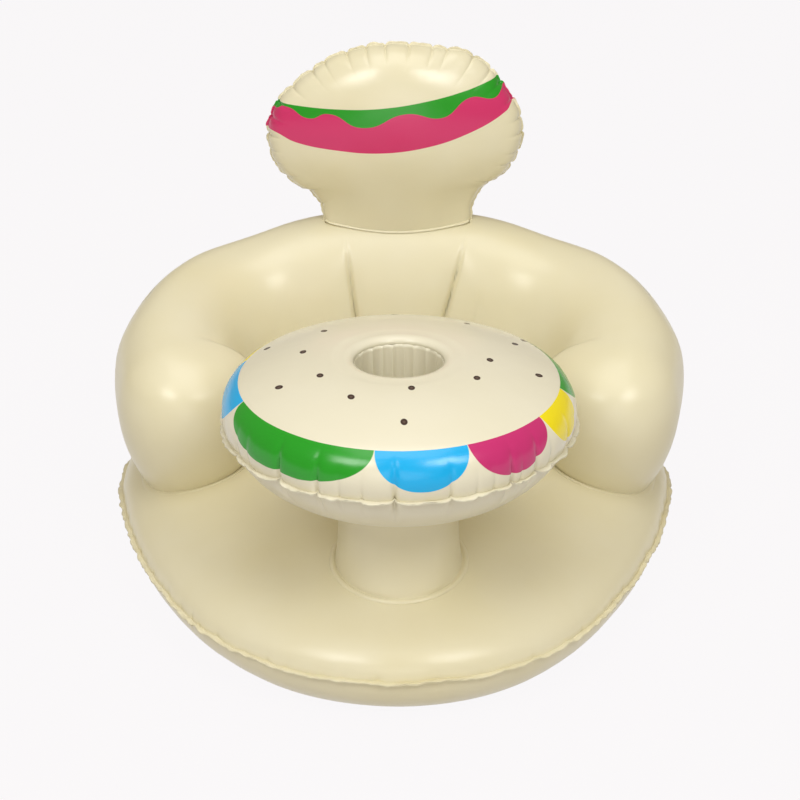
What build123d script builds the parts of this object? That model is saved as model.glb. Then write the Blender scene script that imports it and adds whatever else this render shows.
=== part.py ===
from build123d import *
import math
import os

os.makedirs("parts", exist_ok=True)

# Inflatable baby bath seat, in millimetres, +Z up. The origin is on the floor, under the middle of
# the base. -Y is the front, where the tray stands on its post, and +Y is the back.

# PVC film, the margins left round its welds and the gap between welded faces
film = 0.45
weld_margin = 6.0
weld_gap = 0.05

# Base cushion: a rounded outline of tangent arcs that comes to a blunt point in front
base_width = 630.0
base_length = 630.0
base_corner_radius = 215.0
base_corner_y = 93.0
base_side_radius = 560.0
base_tip_radius = 195.0
base_seam_height = 52.0
base_crown = 62.0
base_crown_run = 186.0
base_floor_run = 48.0

# Backrest: a U-shaped wall that follows the base outline and rises to the back
wall_inset = 78.0
wall_half_thickness = 66.0
wall_fullness = 0.85
wall_foot_z = 70.0
wall_foot_angle = 52.0
wall_back_height = 316.0
wall_arm_height = 262.0
arm_end_y = 35.0
wall_foot_spread = 63.5
wall_foot_shift = 5.5
wall_foot_lap = 13.5
outer_panel_front_y = 120.0
outer_seam_inset = 38.0
tie_spacing = 116.0
tie_bottom = 135.0
tie_top = 270.0
tie_clearance = 0.3

# Headrest: a pillow on a neck that stands on the ridge of the backrest
head_width = 288.0
head_top = 520.0
head_top_fullness = 0.8
cheek_radius = 66.0
cheek_height = 417.0
neck_width = 168.0
neck_radius = 45.0
head_foot_z = 296.0
head_foot_angle = 60.0
head_half_thickness = 47.0
head_edge_share = 0.5
head_offset_x = -2.0
head_roll = 1.5

# Tray: an air ring with a pocket in its middle, on a post
tray_y = -184.5
tray_seam_height = 260.0
tray_seam_radius = 166.0
tray_crest_radius = 106.0
tray_top_rise = 62.0
tray_top_bend = 500.0
tray_top_shoulder = 45.0
tray_bottom_drop = 54.0
tray_bottom_bend = 400.0
tray_bottom_shoulder = 40.0
pocket_radius = 46.0
pocket_margin = 5.0
post_radius = 61.5

# Valves, shown pushed in, each with a flange, a stem and a plug
valve_flange_radius = 11.0
valve_flange_thickness = 0.9
valve_clearance = 0.3
stem_radius = 6.0
stem_bore_radius = 3.6
stem_length = 15.0
plug_fit = 0.15
plug_pin_length = 6.0
plug_cap_radius = 7.2
plug_cap_thickness = 1.6
plug_tab_length = 6.0
plug_tab_width = 5.0
base_valve_angle = 35.0
base_valve_bed = 2.5

# Sections that each chamber is lofted through, as angles round its elliptic edge
crown_angles = (0, 14, 30, 48, 66, 81)
floor_angles = (0, 22, 46, 68, 90)
wall_angles = (-wall_foot_angle, -26, 0, 24, 46, 66, 82)
head_angles = (-head_foot_angle, -42, -22, 0, 22, 43, 62, 77, 86)

half_width = base_width / 2
half_length = base_length / 2


def sine(angle):
    return math.sin(math.radians(angle))


def cosine(angle):
    return math.cos(math.radians(angle))


def direction(start, end):
    """Angle in degrees of the line from one point to another."""
    return math.degrees(math.atan2(end[1] - start[1], end[0] - start[0]))


def meeting_point(c0, reach0, c1, reach1):
    """Point at given distances from two others, on the right-hand side of the way between them."""
    span = math.dist(c0, c1)
    along = (reach0 * reach0 - reach1 * reach1 + span * span) / (2 * span)
    across = math.sqrt(reach0 * reach0 - along * along)
    ux = (c1[0] - c0[0]) / span
    uy = (c1[1] - c0[1]) / span
    return (c0[0] + ux * along + uy * across, c0[1] + uy * along - ux * across)


def bridging_radius(dx, rise, corner):
    """Radius of the arc that tops two equal corner arcs, dx off the axis, and touches both."""
    return (dx * dx + rise * rise - corner * corner) / (2 * (rise - corner))


def arc(centre, radius, start, end, mirror=False):
    """Arc between two angles, or its mirror image across the YZ plane."""
    if mirror:
        return CenterArc((-centre[0], centre[1]), radius, 180 - start, start - end)
    return CenterArc(centre, radius, start, end - start)


def ring(outer_radius, inner_radius, bottom, top, centre_y):
    """Upright tube with its axis in the YZ plane."""
    height = top - bottom
    place = Pos(0, centre_y, bottom + height / 2)
    return place * (Cylinder(outer_radius, height) - Cylinder(inner_radius, height))


# Base

corner_centre = (half_width - base_corner_radius, base_corner_y)
back_radius = bridging_radius(corner_centre[0], half_length - base_corner_y, base_corner_radius)
back_centre = (0.0, half_length - back_radius)
tip_centre = (0.0, base_tip_radius - half_length)
side_centre = meeting_point(
    corner_centre,
    base_side_radius - base_corner_radius,
    tip_centre,
    base_side_radius - base_tip_radius,
)
back_angle = direction(back_centre, corner_centre)
side_back_angle = direction(side_centre, corner_centre)
side_front_angle = direction(side_centre, tip_centre)


def base_outline(inset):
    """Outline of the base, drawn in by an inset, counter-clockwise from the right corner."""
    corner = base_corner_radius - inset
    side = base_side_radius - inset
    tip = base_tip_radius - inset
    return make_face(
        [
            arc(corner_centre, corner, side_back_angle, back_angle),
            arc(back_centre, back_radius - inset, back_angle, 180 - back_angle),
            arc(corner_centre, corner, back_angle, side_back_angle, mirror=True),
            arc(side_centre, side, side_back_angle, side_front_angle, mirror=True),
            arc(tip_centre, tip, 180 - side_front_angle, 360 + side_front_angle),
            arc(side_centre, side, side_front_angle, side_back_angle),
        ]
    )


def edge_inset(run, depth, angle):
    """How far a section of a chamber is drawn in from its seam."""
    return depth + (run - depth) * (1 - cosine(angle))


def base_crown_solid(depth):
    """Upper half of the base chamber, drawn in by a depth of film."""
    sections = []
    for angle in crown_angles:
        z = base_seam_height + (base_crown - depth) * sine(angle)
        sections.append(Pos(0, 0, z) * base_outline(edge_inset(base_crown_run, depth, angle)))
    return loft(sections)


def base_floor_solid(depth):
    """Lower half of the base chamber, flat where it rests on the floor."""
    sections = []
    for angle in floor_angles:
        z = base_seam_height - (base_seam_height - depth) * sine(angle)
        sections.append(Pos(0, 0, z) * base_outline(edge_inset(base_floor_run, depth, angle)))
    return loft(sections)


def base_margin(thickness):
    """Flat margin outside the seam of the base, upwards or downwards from the seam."""
    outline = base_outline(-weld_margin) - base_outline(film / 2)
    return Pos(0, 0, base_seam_height) * extrude(outline, thickness)


base_crown_outer = base_crown_solid(0)
base_crown_skin = base_crown_solid(-weld_gap)
base_crown_margin_skin = base_crown_solid(-weld_gap - film)
base_top_panel = base_crown_outer - base_crown_solid(film) + base_margin(2 * film)
base_bottom_panel = base_floor_solid(0) - base_floor_solid(film)

# Backrest

wall_path_radius = base_side_radius - wall_inset
arm_end_angle = math.degrees(math.asin((arm_end_y - side_centre[1]) / wall_path_radius))
ridge_y = half_length - wall_inset


def wall_outline(half, inset=wall_inset):
    """Outline of the U-shaped wall at a half thickness, with round arm ends."""
    side = base_side_radius - inset
    corner = base_corner_radius - inset
    back = back_radius - inset
    end_x = side_centre[0] + side * cosine(arm_end_angle)
    end_y = side_centre[1] + side * sine(arm_end_angle)
    left_end = 180 - arm_end_angle
    right_end = 180 + arm_end_angle
    return make_face(
        [
            arc(side_centre, side + half, arm_end_angle, side_back_angle),
            arc(corner_centre, corner + half, side_back_angle, back_angle),
            arc(back_centre, back + half, back_angle, 180 - back_angle),
            arc(corner_centre, corner + half, back_angle, side_back_angle, mirror=True),
            arc(side_centre, side + half, side_back_angle, arm_end_angle, mirror=True),
            CenterArc((-end_x, end_y), half, left_end, 90),
            CenterArc((-end_x, end_y), half, left_end + 90, 90),
            arc(side_centre, side - half, arm_end_angle, side_back_angle, mirror=True),
            arc(corner_centre, corner - half, side_back_angle, back_angle, mirror=True),
            arc(back_centre, back - half, 180 - back_angle, back_angle),
            arc(corner_centre, corner - half, back_angle, side_back_angle),
            arc(side_centre, side - half, side_back_angle, arm_end_angle),
            CenterArc((end_x, end_y), half, right_end, 90),
            CenterArc((end_x, end_y), half, right_end + 90, 90),
        ]
    )


def wall_rise(angle):
    """Share of the wall's height that a section lies at, from its foot to its ridge."""
    return (sine(angle) + sine(wall_foot_angle)) / (1 + sine(wall_foot_angle))


def wall_section(angle, depth):
    """Half thickness, height at the back and tilt of a section of the backrest."""
    half = (wall_half_thickness - depth) * cosine(angle) ** wall_fullness
    rise = wall_rise(angle)
    back_z = wall_foot_z + (wall_back_height - depth - wall_foot_z) * rise
    arm_z = wall_foot_z + (wall_arm_height - depth - wall_foot_z) * rise
    tilt = math.degrees(math.atan2(back_z - arm_z, ridge_y - arm_end_y))
    return half, back_z, tilt


def wall_solid(depth):
    """Whole backrest chamber, drawn in by a depth of film, on sections that tilt up to the back."""
    sections = []
    for angle in wall_angles:
        half, back_z, tilt = wall_section(angle, depth)
        place = Pos(0, ridge_y, back_z) * Rot(tilt, 0, 0) * Pos(0, -ridge_y, 0)
        sections.append(place * wall_outline(half))
    return loft(sections)


wall_outer = wall_solid(0)
wall_skin = wall_solid(-weld_gap)
wall_film_solid = wall_solid(film)
foot_inset = wall_inset + wall_foot_shift
foot_band = extrude(
    wall_outline(wall_foot_spread, foot_inset)
    - wall_outline(wall_foot_spread - wall_foot_lap, foot_inset),
    wall_back_height,
)
wall_foot_margin = (base_crown_margin_skin - base_crown_skin) & foot_band
wall_shell = (wall_outer - wall_film_solid - base_crown_skin) + wall_foot_margin

# The outer panel covers the back of the wall up to a seam behind the ridge
outer_panel_depth = half_length + weld_margin - outer_panel_front_y
outer_panel_zone = Pos(0, outer_panel_front_y + outer_panel_depth / 2, wall_back_height / 2) * Box(
    base_width + 2 * weld_margin, outer_panel_depth, wall_back_height
)
outer_panel_zone -= extrude(base_outline(outer_seam_inset), wall_back_height)
backrest_outer_panel = wall_shell & outer_panel_zone
backrest_inner_panel = wall_shell - outer_panel_zone


def wall_tie(side):
    """Strip inside the wall that ties its front film to its back film along a crease."""
    middle = (tie_bottom + tie_top) / 2
    strip = Pos(side * tie_spacing / 2, ridge_y, middle) * Box(
        film, 2 * wall_half_thickness, tie_top - tie_bottom
    )
    return strip & wall_solid(film + tie_clearance)


# Headrest

cheek_centre = (head_width / 2 - cheek_radius, cheek_height)
head_top_radius = bridging_radius(cheek_centre[0], head_top - cheek_height, cheek_radius)
head_top_centre = (0.0, head_top - head_top_radius)
neck_centre_x = neck_width / 2 + neck_radius
neck_centre = (
    neck_centre_x,
    cheek_height
    - math.sqrt((cheek_radius + neck_radius) ** 2 - (neck_centre_x - cheek_centre[0]) ** 2),
)
neck_angle = direction(cheek_centre, neck_centre)
cheek_angle = direction(head_top_centre, cheek_centre)


def head_half_width(z):
    """Half width of the headrest at a height, on its neck, cheek and top arcs."""
    if z <= neck_centre[1]:
        return neck_width / 2
    if z <= cheek_centre[1] + cheek_radius * sine(neck_angle):
        rise = z - neck_centre[1]
        return neck_centre_x - math.sqrt(neck_radius * neck_radius - rise * rise)
    if z <= cheek_centre[1] + cheek_radius * sine(cheek_angle):
        rise = z - cheek_centre[1]
        return cheek_centre[0] + math.sqrt(cheek_radius * cheek_radius - rise * rise)
    rise = z - head_top_centre[1]
    return math.sqrt(head_top_radius * head_top_radius - rise * rise)


def oval(half_x, half_y):
    """Oval of four arcs, pointed enough to look like two films welded at its ends."""
    corner = half_y * head_edge_share
    centre = (half_x - corner, 0.0)
    radius = bridging_radius(centre[0], half_y, corner)
    top_centre = (0.0, half_y - radius)
    turn = direction(top_centre, centre)
    return make_face(
        [
            CenterArc(centre, corner, -turn, 2 * turn),
            CenterArc(top_centre, radius, turn, 180 - 2 * turn),
            CenterArc((-centre[0], 0), corner, 180 - turn, 2 * turn),
            CenterArc((0, -top_centre[1]), radius, 180 + turn, 180 - 2 * turn),
        ]
    )


def head_solid(depth):
    """Whole headrest chamber, drawn in by a depth of film, leaning to one side."""
    sections = []
    for angle in head_angles:
        reach = head_top - cheek_height
        if angle < 0:
            reach = (cheek_height - head_foot_z) / sine(head_foot_angle)
        z = cheek_height + reach * sine(angle)
        half_y = head_half_thickness * cosine(angle) ** head_top_fullness
        shift = -depth * sine(angle)
        if angle == -head_foot_angle:
            shift = -abs(depth)
        half_x = head_half_width(z) - depth * cosine(angle)
        sections.append(Pos(0, 0, z + shift) * oval(half_x, half_y - depth * cosine(angle)))
    upright = loft(sections)
    lean = Pos(head_offset_x, ridge_y, wall_back_height) * Rot(0, -head_roll, 0)
    return lean * Pos(0, 0, -wall_back_height) * upright


head_outer = head_solid(0)
head_film_solid = head_solid(film)
head_rim_slab = Pos(0, ridge_y, head_top / 2) * Box(2 * head_width, 2 * film, 2 * head_top)
head_shell = (head_outer + (head_solid(-weld_margin) & head_rim_slab)) - head_film_solid - wall_skin
half_space = Box(2 * head_width, head_width, 2 * head_top)
head_front_zone = Pos(0, ridge_y - head_width / 2, head_top / 2) * half_space
headrest_front_panel = head_shell & head_front_zone
headrest_back_panel = head_shell - head_front_zone

# Tray


def shoulder_curve(centre, radius, start, end):
    """Smooth curve through three points of an arc, with the arc's tangents at its ends."""
    turn = math.copysign(90, end - start)
    angles = (start, (start + end) / 2, end)
    points = [(centre[0] + radius * cosine(a), centre[1] + radius * sine(a)) for a in angles]
    leave = (cosine(start + turn), sine(start + turn))
    arrive = (cosine(end + turn), sine(end + turn))
    return Spline(points, tangents=(leave, arrive))


def tray_outline(depth, rise, bend, shoulder, inner_radius, side):
    """Half section of the tray above or below its seam, as radius and height."""
    crest_centre = (tray_crest_radius, side * (rise - bend))
    seam_point = (tray_seam_radius, 0.0)
    if side > 0:
        centre = meeting_point(seam_point, shoulder, crest_centre, bend - shoulder)
    else:
        centre = meeting_point(crest_centre, bend - shoulder, seam_point, shoulder)
    tangent = direction(crest_centre, centre)
    tangent_point = (
        centre[0] + (shoulder - depth) * cosine(tangent),
        centre[1] + (shoulder - depth) * sine(tangent),
    )
    reach = shoulder - depth
    foot_x = centre[0] + math.sqrt(reach * reach - centre[1] * centre[1])
    inner_rise = math.sqrt((bend - depth) ** 2 - (tray_crest_radius - inner_radius) ** 2)
    inner_point = (inner_radius, crest_centre[1] + side * inner_rise)
    start = direction(centre, (foot_x, 0.0))
    return [
        Line((0, 0), (foot_x, 0)),
        shoulder_curve(centre, reach, start, tangent),
        CenterArc(crest_centre, bend - depth, tangent, direction(crest_centre, inner_point) - tangent),
        Line(inner_point, (0, inner_point[1])),
        Line((0, inner_point[1]), (0, 0)),
    ]


def tray_turned(edges):
    """Solid turned about the tray's axis from an outline of radius and height."""
    section = Plane.XZ * make_face(edges)
    return Pos(0, tray_y, tray_seam_height) * revolve(section, Axis.Z)


def tray_top_solid(depth):
    return tray_turned(
        tray_outline(depth, tray_top_rise, tray_top_bend, tray_top_shoulder, pocket_radius, 1)
    )


def tray_bottom_solid(depth):
    return tray_turned(
        tray_outline(
            depth, tray_bottom_drop, tray_bottom_bend, tray_bottom_shoulder, pocket_radius, -1
        )
    )


def tray_margin_ring(bottom, top):
    """Flat margin outside the seam of the tray."""
    tray_rim = tray_seam_radius + weld_margin
    return ring(tray_rim, tray_seam_radius - film / 2, bottom, top, tray_y)


tray_bottom_outer = tray_bottom_solid(0)
tray_bottom_skin = tray_bottom_solid(-weld_gap)
tray_top_panel = tray_top_solid(0) - tray_top_solid(film)
tray_top_panel += tray_margin_ring(tray_seam_height, tray_seam_height + 2 * film)
tray_top_panel -= Pos(0, tray_y, tray_seam_height + tray_top_rise) * Cylinder(
    pocket_radius, tray_top_rise
)
tray_bottom_panel = tray_bottom_outer - tray_bottom_solid(film)


def crest_height(radius, depth):
    """Height of the tray's top film over the seam, at a radius inside its crest."""
    reach = math.sqrt((tray_top_bend - depth) ** 2 - (tray_crest_radius - radius) ** 2)
    return tray_top_rise - tray_top_bend + reach


def pocket_floor(depth):
    """Height of the pocket's floor film over the seam, drawn in by a depth of film."""
    reach = math.sqrt((tray_bottom_bend - depth) ** 2 - (tray_crest_radius - pocket_radius) ** 2)
    return tray_bottom_bend - tray_bottom_drop - reach


def pocket_sleeve():
    """Sleeve that lines the pocket, with a margin welded on top of the tray."""
    outer = pocket_radius - weld_gap
    inner = outer - film
    rim = pocket_radius + pocket_margin
    under = -weld_gap
    over = under - film
    floor = pocket_floor(film) + weld_gap
    section = make_face(
        Polyline(
            (inner, floor),
            (outer, floor),
            (outer, crest_height(outer, under)),
            (rim, crest_height(rim, under)),
            (rim, crest_height(rim, over)),
            (inner, crest_height(inner, over)),
            close=True,
        )
    )
    return Pos(0, tray_y, tray_seam_height) * revolve(Plane.XZ * section, Axis.Z)


tray_pocket_sleeve = pocket_sleeve()

# Post

post_foot = base_seam_height
post_top = tray_seam_height
post_sheet = ring(post_radius, post_radius - film, post_foot, post_top, tray_y)
post_margin_zone = ring(post_radius + weld_margin, post_radius - film, post_foot, post_top, tray_y)
post_foot_margin = (base_crown_margin_skin - base_crown_skin) & post_margin_zone
post_wall = (post_sheet - base_crown_skin - tray_bottom_skin) + post_foot_margin

# Valves


def valve_place(spot, outward):
    """Plane on the film at a valve, with Z outward and X level."""
    level = (1.0, 0.0, 0.0)
    return Plane(origin=spot, x_dir=level, z_dir=outward)


def disc(radius, bottom, top):
    return Pos(0, 0, (bottom + top) / 2) * Cylinder(radius, top - bottom)


def valve_flange(place):
    """Disc welded on the film, with the stem's hole through it."""
    flange = disc(valve_flange_radius, weld_gap, valve_flange_thickness)
    return place * (flange - disc(stem_radius + valve_clearance, 0, 2 * valve_flange_thickness))


def valve_opening(place):
    """Hole through the film for the stem."""
    return place * disc(stem_radius + valve_clearance, -stem_length, stem_length)


def valve_stem(place):
    """Soft tube that slides in the flange."""
    stem = disc(stem_radius, -stem_length, valve_flange_thickness)
    return place * (stem - disc(stem_bore_radius, -2 * stem_length, 2 * stem_length))


def valve_plug(place):
    """Plug with its pin in the stem, a cap and a tab to lift it by."""
    seat = valve_flange_thickness + valve_clearance
    plug = disc(stem_bore_radius - plug_fit, seat - plug_pin_length, seat)
    plug += disc(plug_cap_radius, seat, seat + plug_cap_thickness)
    tab_end = plug_cap_radius + plug_tab_length
    tab = Pos(tab_end / 2, 0, seat + plug_cap_thickness / 2) * Box(
        tab_end, plug_tab_width, plug_cap_thickness
    )
    return place * (plug + tab)


base_valve_inset = base_floor_run * (1 - cosine(base_valve_angle))
base_valve_spot = (
    0.0,
    half_length - base_valve_inset,
    base_seam_height * (1 - sine(base_valve_angle)),
)
base_valve_outward = (
    0.0,
    cosine(base_valve_angle) / base_floor_run,
    -sine(base_valve_angle) / base_seam_height,
)
wall_half, wall_valve_z, wall_tilt = wall_section(0, 0)
wall_valve_spot = (
    0.0,
    ridge_y + wall_half * cosine(wall_tilt),
    wall_valve_z + wall_half * sine(wall_tilt),
)
backward = (0.0, 1.0, 0.0)
downward = (0.0, 0.0, -1.0)
valve_places = {
    "base": valve_place(base_valve_spot, base_valve_outward),
    "backrest": valve_place(wall_valve_spot, backward),
    "headrest": valve_place(
        (head_offset_x, ridge_y + head_half_thickness, cheek_height), backward
    ),
    "tray": valve_place(
        (0.0, tray_y + tray_crest_radius, tray_seam_height - tray_bottom_drop), downward
    ),
}
base_bottom_panel -= valve_opening(valve_places["base"])
backrest_outer_panel -= valve_opening(valve_places["backrest"])
headrest_back_panel -= valve_opening(valve_places["headrest"])
tray_bottom_panel -= valve_opening(valve_places["tray"])

parts = {
    "base_top_panel": base_top_panel,
    "base_bottom_panel": base_bottom_panel,
    "backrest_inner_panel": backrest_inner_panel,
    "backrest_outer_panel": backrest_outer_panel,
    "backrest_tie_left": wall_tie(-1),
    "backrest_tie_right": wall_tie(1),
    "headrest_front_panel": headrest_front_panel,
    "headrest_back_panel": headrest_back_panel,
    "tray_top_panel": tray_top_panel,
    "tray_bottom_panel": tray_bottom_panel,
    "tray_pocket_sleeve": tray_pocket_sleeve,
    "post_wall": post_wall,
}
for name, place in valve_places.items():
    parts[name + "_valve_flange"] = valve_flange(place)
    parts[name + "_valve_stem"] = valve_stem(place)
    parts[name + "_valve_plug"] = valve_plug(place)
# The base curves away under its valve, so that flange is thicker and bedded on the film
base_bed = disc(valve_flange_radius, -base_valve_bed, valve_flange_thickness)
base_bed -= disc(stem_radius + valve_clearance, -stem_length, stem_length)
parts["base_valve_flange"] = valve_places["base"] * base_bed - base_floor_solid(-weld_gap)

for name, solid in parts.items():
    solid.label = name
    export_step(solid, "parts/" + name + ".step")
    print(name, round(solid.volume, 1))
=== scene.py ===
import math
import random

import bmesh
import bpy
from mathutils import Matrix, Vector, noise


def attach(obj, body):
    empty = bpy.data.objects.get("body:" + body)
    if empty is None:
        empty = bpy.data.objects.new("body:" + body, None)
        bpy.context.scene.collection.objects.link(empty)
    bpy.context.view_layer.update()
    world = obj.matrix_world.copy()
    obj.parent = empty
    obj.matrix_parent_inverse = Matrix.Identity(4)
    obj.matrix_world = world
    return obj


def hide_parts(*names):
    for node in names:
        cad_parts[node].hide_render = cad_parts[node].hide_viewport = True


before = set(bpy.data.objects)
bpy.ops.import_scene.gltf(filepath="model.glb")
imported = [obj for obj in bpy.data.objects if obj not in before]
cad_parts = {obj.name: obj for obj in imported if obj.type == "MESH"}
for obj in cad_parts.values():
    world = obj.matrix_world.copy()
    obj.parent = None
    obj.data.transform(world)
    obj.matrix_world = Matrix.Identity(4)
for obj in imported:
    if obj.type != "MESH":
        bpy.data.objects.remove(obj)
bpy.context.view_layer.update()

# Inflatable baby bath seat. Metres, +Z up, -Y to the front, where the tray stands on its post.
# Every film is its own piece: it starts at its welded seam and is drawn over the chamber ring by ring.

FILM = 0.00045

# Base cushion
BASE_HALF = 0.315
CORNER = (0.100, 0.093)
CORNER_RADIUS = 0.215
SIDE_RADIUS = 0.560
TIP_RADIUS = 0.195
BASE_SEAM_Z = 0.052
RIGHT_SHARE = 0.972
CROWN = 0.062
CROWN_RUN = 0.186
FLOOR_RUN = 0.048

# Backrest
WALL_INSET = 0.078
WALL_HALF = 0.066
WALL_FULLNESS = 0.85
WALL_FOOT_Z = 0.070
WALL_FOOT_ANGLE = 52
WALL_BACK_Z = 0.316
WALL_ARM_Z = 0.262
ARM_END_Y = 0.035
OUTER_PANEL_Y = 0.120
OUTER_SEAM = 0.038
# how far the ridge sags beside the headrest, and where, and how much fuller the arms are outside
RIDGE_SAG = 0.018
SAG_X = 0.182
SAG_WIDTH = 0.068
ARM_SWELL = 0.021
ARM_SWELL_Y = 0.18
ARM_SWELL_RUN = 0.10
# creases of the inner film: X at CREASE_LEVEL, lean, bottom, top, depth and width
CREASE_LEVEL = 0.215
CREASES = [
    (-0.050, -0.129, 0.14, 0.285, 0.018, 0.0017),
    (0.052, 0.274, 0.14, 0.290, 0.018, 0.0017),
    (0.087, 0.190, 0.19, 0.240, 0.004, 0.0030),
]

# Headrest
HEAD_WIDTH = 0.288
HEAD_TOP = 0.520
HEAD_FULLNESS = 0.8
CHEEK_RADIUS = 0.066
CHEEK_Z = 0.417
NECK_WIDTH = 0.168
NECK_RADIUS = 0.045
HEAD_FOOT_Z = 0.296
HEAD_FOOT_ANGLE = 60
HEAD_HALF = 0.047
HEAD_LEAN = math.radians(1.5)
HEAD_X = -0.002

# Tray and post
TRAY_Y = -0.1845
TRAY_Z = 0.264
TRAY_RADIUS = 0.166
TRAY_SHOULDER = 0.034
TRAY_RISE = 0.0655
TRAY_BEND = 0.250
TRAY_CREST = 0.050
UNDER_SHOULDER = 0.085
UNDER_DROP = 0.058
UNDER_BEND = 0.400
UNDER_CREST = 0.100
POCKET_LIP = 0.007
# place of the tray's valve from the tray's middle, and the height of its flange
TRAY_VALVE = (0.0, 0.106)
TRAY_VALVE_Z = 0.206
POCKET_RADIUS = 0.043
POST_RADIUS = 0.0615
MARGIN = 0.006


def sine(degrees):
    return math.sin(math.radians(degrees))


def cosine(degrees):
    return math.cos(math.radians(degrees))


def heading(start, end):
    return math.atan2(end[1] - start[1], end[0] - start[0])


def meeting_point(c0, reach0, c1, reach1):
    """Point at given distances from two others, on the right-hand side of the way between them."""
    span = math.dist(c0, c1)
    along = (reach0 * reach0 - reach1 * reach1 + span * span) / (2 * span)
    across = math.sqrt(reach0 * reach0 - along * along)
    ux = (c1[0] - c0[0]) / span
    uy = (c1[1] - c0[1]) / span
    return (c0[0] + ux * along + uy * across, c0[1] + uy * along - ux * across)


def bridging_radius(dx, rise, corner):
    """Radius of the arc that tops two equal corner arcs and touches both."""
    return (dx * dx + rise * rise - corner * corner) / (2 * (rise - corner))


class ArcPath:
    """Tangent arcs end to end, read by the length along them."""

    def __init__(self, arcs):
        self.arcs = arcs
        self.lengths = [abs(a1 - a0) * radius for _, radius, a0, a1 in arcs]
        self.total = sum(self.lengths)

    def at(self, along, inset=0.0):
        """Point and outward normal at a length, drawn in by an inset."""
        rest = along
        last = len(self.arcs) - 1
        for number, (centre, radius, a0, a1) in enumerate(self.arcs):
            length = self.lengths[number]
            if rest <= length or number == last:
                angle = a0 + (a1 - a0) * min(max(rest / length, 0), 1)
                nx = math.cos(angle)
                ny = math.sin(angle)
                if a1 < a0:
                    nx, ny = -nx, -ny
                    reach = radius + inset
                else:
                    reach = radius - inset
                sign = 1 if a1 > a0 else -1
                point = (centre[0] + sign * nx * reach, centre[1] + sign * ny * reach)
                return point, (nx, ny)
            rest -= length


# Outline of the base, counter-clockwise from the right corner
BACK_RADIUS = bridging_radius(CORNER[0], BASE_HALF - CORNER[1], CORNER_RADIUS)
BACK_CENTRE = (0.0, BASE_HALF - BACK_RADIUS)
TIP_CENTRE = (0.0, TIP_RADIUS - BASE_HALF)
SIDE_CENTRE = meeting_point(CORNER, SIDE_RADIUS - CORNER_RADIUS, TIP_CENTRE, SIDE_RADIUS - TIP_RADIUS)
BACK_TURN = heading(BACK_CENTRE, CORNER)
SIDE_TURN = heading(SIDE_CENTRE, CORNER)
TIP_TURN = heading(SIDE_CENTRE, TIP_CENTRE)
LEFT_CORNER = (-CORNER[0], CORNER[1])
LEFT_SIDE = (-SIDE_CENTRE[0], SIDE_CENTRE[1])
BASE_ARCS = [
    (CORNER, CORNER_RADIUS, SIDE_TURN, BACK_TURN),
    (BACK_CENTRE, BACK_RADIUS, BACK_TURN, math.pi - BACK_TURN),
    (LEFT_CORNER, CORNER_RADIUS, math.pi - BACK_TURN, math.pi - SIDE_TURN),
    (LEFT_SIDE, SIDE_RADIUS, math.pi - SIDE_TURN, math.pi - TIP_TURN),
    (TIP_CENTRE, TIP_RADIUS, math.pi - TIP_TURN, 2 * math.pi + TIP_TURN),
    (SIDE_CENTRE, SIDE_RADIUS, TIP_TURN, SIDE_TURN),
]
BASE_PATH = ArcPath(BASE_ARCS)


def base_inset(x, y):
    """How far a point of the plan lies inside the base's outline."""
    found = 1.0
    for centre, radius, a0, a1 in BASE_ARCS:
        angle = math.atan2(y - centre[1], x - centre[0])
        for turn in (-2 * math.pi, 0, 2 * math.pi):
            if a0 - 0.02 <= angle + turn <= a1 + 0.02:
                found = min(found, radius - math.hypot(x - centre[0], y - centre[1]))
    return found


def crown_height(inset):
    """Height of the base's upper film where it lies an inset inside the seam."""
    share = min(max(inset / CROWN_RUN, 0), 1)
    return BASE_SEAM_Z + CROWN * math.sqrt(1 - (1 - share) ** 2)


def base_top(x, y):
    return crown_height(base_inset(x / RIGHT_SHARE if x > 0 else x, y))


# Wrinkles


def pucker_list(total, spacing, depth, seed):
    """Puckers along a seam: place, depth, width and reach of each, uneven as gathered film is."""
    dice = random.Random(seed)
    found = []
    along = dice.uniform(0, spacing)
    while along < total - spacing / 3:
        strength = dice.uniform(0.35, 1.0) ** 1.5
        width = dice.uniform(0.0016, 0.0032)
        found.append((along, depth * strength, width, dice.uniform(0.5, 1.0)))
        along += spacing * dice.uniform(0.55, 1.45)
    return found


def pucker_depth(puckers, total, along, away, reach):
    """How deep the film lies in its puckers, at a length along the seam and a distance from it."""
    depth = 0.0
    for place, strength, width, share in puckers:
        length = reach * share
        if away >= length:
            continue
        fade = (1 - away / length) ** 1.4
        spread = width * (1 + 1.6 * away / length)
        gap = abs((along - place + total / 2) % total - total / 2)
        if gap < 9 * spread:
            # a sharp fold with a wider dip, so that the film between two folds stands out as a pillow
            sharp = 1 / (1 + (gap / spread) ** 2) ** 1.5
            depth += strength * fade * (0.65 * sharp + 0.35 * math.exp(-gap / (3 * spread)))
    return depth


def ripple(x, y, z, size, height):
    """Uneven swell of the film, of a size. Where z is a bare number it only picks a different swell."""
    return height * noise.noise(Vector((x, y, z)) / size)


# Building films


def new_piece(name, bm):
    mesh = bpy.data.meshes.new(name)
    bm.to_mesh(mesh)
    bm.free()
    mesh.shade_smooth()
    piece = bpy.data.objects.new(name, mesh)
    bpy.context.scene.collection.objects.link(piece)
    return piece


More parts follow.
